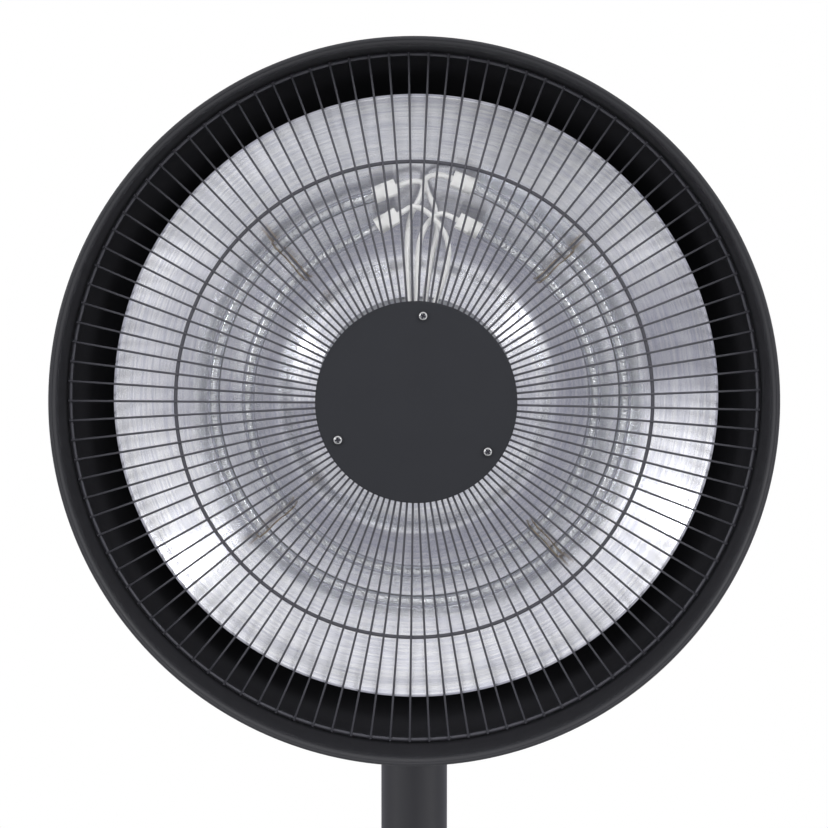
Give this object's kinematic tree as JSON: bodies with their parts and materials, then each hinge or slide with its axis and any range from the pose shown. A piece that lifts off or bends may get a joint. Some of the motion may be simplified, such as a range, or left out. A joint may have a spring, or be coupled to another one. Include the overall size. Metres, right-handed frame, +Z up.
{
  "type": "infrared patio heater",
  "caption": "Free-standing infrared patio heater: round tilting head with ring quartz tubes, spun reflector and radial wire grille, on a telescopic pole with a round weighted base.",
  "frame": {"origin": "centre of the underside of the floor pad", "axes": "+Z up along the pole, the heating head faces -Y, +X to the right as seen from the front; rest pose is the pictured one, head level and mast fully raised"},
  "size_m": [0.4249, 0.46, 1.9625],
  "materials": {
    "pad_rubber": "matte",
    "black_coat": "satin powder coat",
    "cast_black": "black powder coat on a casting",
    "grille_coat": "satin dark grey",
    "disc_coat": "fine satin anthracite",
    "bright_aluminium": "spun and polished",
    "plain_aluminium": "turned",
    "zinc_sheet": "dull zinc",
    "steel_bright": "polished stainless",
    "steel_dark": "black oxide",
    "heat_tinted_steel": "tempered spring wire",
    "heating_wire": "wound resistance wire",
    "quartz": "clear",
    "white_ceramic": "unglazed",
    "glass_sleeve": "white braided fibreglass",
    "black_plastic": "fine texture",
    "rocker_black": "smooth",
    "black_nylon": "smooth nylon",
    "pale_plastic": "natural nylon",
    "brass_insert": "turned"
  },
  "bodies": {
    "base": {"floor_pad": "pad_rubber", "base_plate": "black_coat", "pole_socket": "black_coat", "socket_screws": "steel_bright", "socket_set_screws": "steel_dark", "lower_pole": "black_coat", "collar_bush": "black_nylon", "pole_collar": "black_plastic"},
    "height_clamp": {"height_knob": "black_plastic", "height_stud": "steel_bright"},
    "mast": {"upper_pole": "black_coat", "pole_glide": "black_nylon", "pole_yoke": "cast_black", "yoke_screws": "steel_bright", "tilt_bolt": "steel_bright", "tilt_washers": "black_nylon"},
    "tilt_clamp": {"tilt_knob": "black_plastic", "tilt_knob_insert": "brass_insert"},
    "head": {"head_shell": "black_coat", "reflector": "bright_aluminium", "reflector_spacers": "plain_aluminium", "hub_cup": "zinc_sheet", "hub_screws": "steel_bright", "hub_nuts": "steel_bright", "wire_conduit": "glass_sleeve", "grille": "grille_coat", "cover_disc": "disc_coat", "cover_screws": "steel_bright", "outer_tube": "quartz", "inner_tube": "quartz", "outer_filament": "heating_wire", "inner_filament": "heating_wire", "tube_caps": "white_ceramic", "tube_supports": "heat_tinted_steel", "heater_leads": "glass_sleeve", "ceramic_block": "white_ceramic", "wire_harness": "glass_sleeve", "rear_housing": "cast_black", "housing_screws": "steel_bright", "cable_gland": "black_nylon", "gland_nut": "black_nylon", "switch_bodies": "black_plastic", "mains_block": "pale_plastic", "tip_switch": "black_plastic"},
    "left_rocker": {"rocker_low": "rocker_black"},
    "right_rocker": {"rocker_high": "rocker_black"}
  },
  "joints": [
    {"name": "height_slide", "type": "slide", "parent": "base", "child": "mast", "axis": [0, 0, 1], "range_m": [-0.35, 0]},
    {"name": "height_knob_turn", "type": "hinge", "parent": "base", "child": "height_clamp", "pos_m": [0, 0.045, 0.989], "axis": [0, 1, 0], "range_deg": [0, 360]},
    {"name": "head_tilt", "type": "hinge", "parent": "mast", "child": "head", "pos_m": [0, -0.056, 1.75], "axis": [1, 0, 0], "range_deg": [0, 35]},
    {"name": "tilt_knob_turn", "type": "hinge", "parent": "mast", "child": "tilt_clamp", "pos_m": [0, -0.056, 1.75], "axis": [1, 0, 0], "range_deg": [0, 360]},
    {"name": "left_rocker_press", "type": "hinge", "parent": "head", "child": "left_rocker", "pos_m": [-0.02, -0.0834, 1.784], "axis": [1, 0, 0], "range_deg": [0, 20]},
    {"name": "right_rocker_press", "type": "hinge", "parent": "head", "child": "right_rocker", "pos_m": [0.02, -0.0834, 1.784], "axis": [1, 0, 0], "range_deg": [0, 20]}
  ]
}
